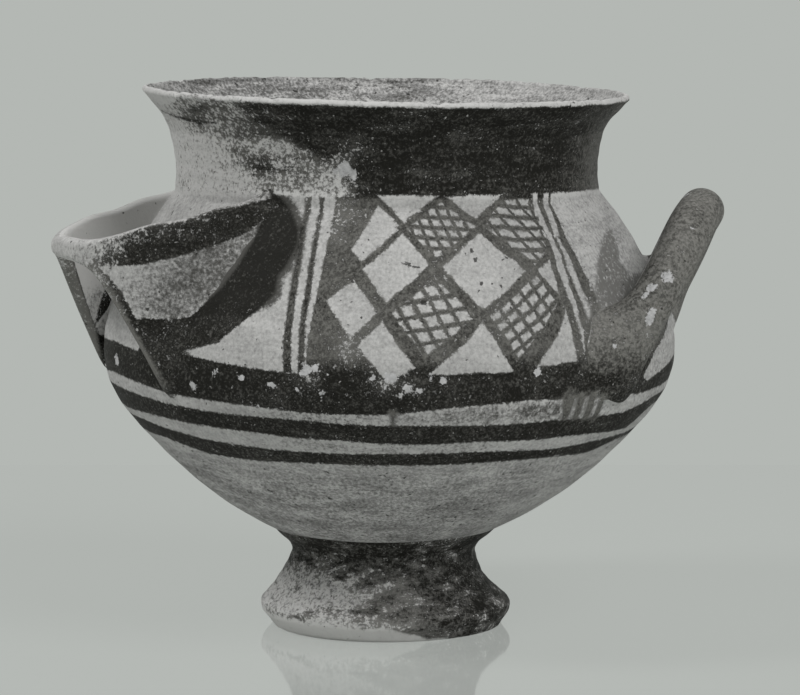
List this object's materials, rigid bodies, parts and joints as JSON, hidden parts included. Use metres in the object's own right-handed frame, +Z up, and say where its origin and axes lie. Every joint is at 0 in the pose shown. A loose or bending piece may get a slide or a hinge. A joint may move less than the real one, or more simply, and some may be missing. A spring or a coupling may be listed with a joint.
{
  "type": "footed bowl",
  "caption": "Footed clay bowl with a flaring collar, a broad band handle and a canted loop handle, painted with bands and a lozenge panel.",
  "frame": {"origin": "on the pot's axis, at the level of its standing ring", "axes": "+Z up, -Y towards the painted front, -X towards the band handle, +X towards the loop handle"},
  "size_m": [0.1914, 0.164, 0.1561],
  "materials": {
    "painted_slip": "pale matt slip with dark painted bands and a lozenge panel, worn and pitted",
    "dark_collar": "dark matt paint over pale slip, worn to the clay at the lip and on the left",
    "dark_foot": "dark matt paint, rubbed along the standing ring",
    "banded_handle": "pale slip with dark bands along the lip and the root",
    "dark_handle": "dark matt paint with chips down to the clay"
  },
  "bodies": {
    "root": {"bowl": "painted_slip", "neck_collar": "dark_collar", "pedestal_foot": "dark_foot", "band_handle": "banded_handle", "loop_handle": "dark_handle"}
  },
  "joints": []
}
